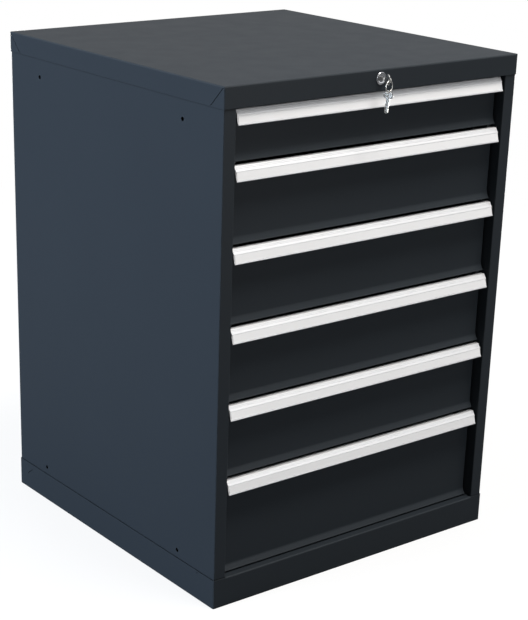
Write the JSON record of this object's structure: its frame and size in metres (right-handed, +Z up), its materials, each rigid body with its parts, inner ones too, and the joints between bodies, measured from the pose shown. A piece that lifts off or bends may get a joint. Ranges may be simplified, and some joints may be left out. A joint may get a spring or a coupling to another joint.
{
  "type": "drawer cabinet",
  "caption": "Full-height steel workshop cabinet with stacked full-extension drawers, aluminium label handles and a central lock.",
  "frame": {"origin": "middle of the base's underside, centre of its four floor holes", "axes": "+X to the right across the front, +Y to the back, +Z up; the drawers open towards -Y"},
  "size_m": [0.717, 0.7522, 1],
  "materials": {
    "body_paint": "fine-textured anthracite powder coat",
    "drawer_paint": "smooth anthracite powder coat",
    "zinc_steel": "bright zinc plating",
    "aluminium": "satin anodised extrusion",
    "label_strip": "plain white card under clear film",
    "lock_chrome": "bright chrome",
    "nickel": "nickel-plated brass"
  },
  "bodies": {
    "cabinet": {"side_left": "body_paint", "side_right": "body_paint", "back_panel": "body_paint", "lid": "body_paint", "plinth": "body_paint", "floor_pan": "body_paint", "top_rail": "body_paint", "rear_rail": "body_paint", "uprights_left": "zinc_steel", "uprights_right": "zinc_steel", "cabinet_rails_left": "zinc_steel", "cabinet_rails_right": "zinc_steel", "lock_body": "lock_chrome", "lock_nut": "zinc_steel"},
    "drawer_1": {"drawer_1_box": "drawer_paint", "drawer_1_front": "body_paint", "drawer_1_handle": "aluminium", "drawer_1_label": "label_strip", "drawer_1_rails": "zinc_steel"},
    "runner_1": {"drawer_1_slides": "zinc_steel"},
    "drawer_2": {"drawer_2_box": "drawer_paint", "drawer_2_front": "body_paint", "drawer_2_handle": "aluminium", "drawer_2_label": "label_strip", "drawer_2_rails": "zinc_steel"},
    "runner_2": {"drawer_2_slides": "zinc_steel"},
    "drawer_3": {"drawer_3_box": "drawer_paint", "drawer_3_front": "body_paint", "drawer_3_handle": "aluminium", "drawer_3_label": "label_strip", "drawer_3_rails": "zinc_steel"},
    "runner_3": {"drawer_3_slides": "zinc_steel"},
    "drawer_4": {"drawer_4_box": "drawer_paint", "drawer_4_front": "body_paint", "drawer_4_handle": "aluminium", "drawer_4_label": "label_strip", "drawer_4_rails": "zinc_steel"},
    "runner_4": {"drawer_4_slides": "zinc_steel"},
    "drawer_5": {"drawer_5_box": "drawer_paint", "drawer_5_front": "body_paint", "drawer_5_handle": "aluminium", "drawer_5_label": "label_strip", "drawer_5_rails": "zinc_steel"},
    "runner_5": {"drawer_5_slides": "zinc_steel"},
    "drawer_6": {"drawer_6_box": "drawer_paint", "drawer_6_front": "body_paint", "drawer_6_handle": "aluminium", "drawer_6_label": "label_strip", "drawer_6_rails": "zinc_steel"},
    "runner_6": {"drawer_6_slides": "zinc_steel"},
    "plug": {"lock_plug": "lock_chrome", "lock_cam": "zinc_steel", "key": "nickel"},
    "cross_bar": {"transfer_bar": "zinc_steel"},
    "upright_bar": {"lock_bar": "zinc_steel", "lock_lugs": "zinc_steel"},
    "ring": {"key_ring": "nickel"}
  },
  "joints": [
    {"name": "drawer_1_slide", "type": "slide", "parent": "cabinet", "child": "drawer_1", "axis": [0, -1, 0], "range_m": [0, 0.6]},
    {"name": "runner_1_slide", "type": "slide", "parent": "cabinet", "child": "runner_1", "axis": [0, -1, 0], "range_m": [0, 0.3]},
    {"name": "drawer_2_slide", "type": "slide", "parent": "cabinet", "child": "drawer_2", "axis": [0, -1, 0], "range_m": [0, 0.6]},
    {"name": "runner_2_slide", "type": "slide", "parent": "cabinet", "child": "runner_2", "axis": [0, -1, 0], "range_m": [0, 0.3]},
    {"name": "drawer_3_slide", "type": "slide", "parent": "cabinet", "child": "drawer_3", "axis": [0, -1, 0], "range_m": [0, 0.6]},
    {"name": "runner_3_slide", "type": "slide", "parent": "cabinet", "child": "runner_3", "axis": [0, -1, 0], "range_m": [0, 0.3]},
    {"name": "drawer_4_slide", "type": "slide", "parent": "cabinet", "child": "drawer_4", "axis": [0, -1, 0], "range_m": [0, 0.6]},
    {"name": "runner_4_slide", "type": "slide", "parent": "cabinet", "child": "runner_4", "axis": [0, -1, 0], "range_m": [0, 0.3]},
    {"name": "drawer_5_slide", "type": "slide", "parent": "cabinet", "child": "drawer_5", "axis": [0, -1, 0], "range_m": [0, 0.6]},
    {"name": "runner_5_slide", "type": "slide", "parent": "cabinet", "child": "runner_5", "axis": [0, -1, 0], "range_m": [0, 0.3]},
    {"name": "drawer_6_slide", "type": "slide", "parent": "cabinet", "child": "drawer_6", "axis": [0, -1, 0], "range_m": [0, 0.6]},
    {"name": "runner_6_slide", "type": "slide", "parent": "cabinet", "child": "runner_6", "axis": [0, -1, 0], "range_m": [0, 0.3]},
    {"name": "upright_bar_slide", "type": "slide", "parent": "cabinet", "child": "upright_bar", "axis": [0, 0, 1], "range_m": [0, 0.01414]},
    {"name": "key_turn", "type": "hinge", "parent": "cabinet", "child": "plug", "pos_m": [0, -0.3625, 0.983], "axis": [0, 1, 0], "range_deg": [0, 90]},
    {"name": "cross_bar_slide", "type": "slide", "parent": "cabinet", "child": "cross_bar", "axis": [1, 0, 0], "range_m": [-0.01415, 0]},
    {"name": "ring_swing", "type": "hinge", "parent": "plug", "child": "ring", "pos_m": [0, -0.3856, 0.98175], "axis": [1, 0, 0], "range_deg": [-35, 10]}
  ],
  "couplings": [
    {"joint": "runner_1_slide", "follows": "drawer_1_slide", "ratio": 0.5},
    {"joint": "runner_2_slide", "follows": "drawer_2_slide", "ratio": 0.5},
    {"joint": "runner_3_slide", "follows": "drawer_3_slide", "ratio": 0.5},
    {"joint": "runner_4_slide", "follows": "drawer_4_slide", "ratio": 0.5},
    {"joint": "runner_5_slide", "follows": "drawer_5_slide", "ratio": 0.5},
    {"joint": "runner_6_slide", "follows": "drawer_6_slide", "ratio": 0.5},
    {"joint": "cross_bar_slide", "follows": "upright_bar_slide", "ratio": -1},
    {"joint": "key_turn", "follows": "upright_bar_slide", "rad_per_m": 111.07}
  ]
}
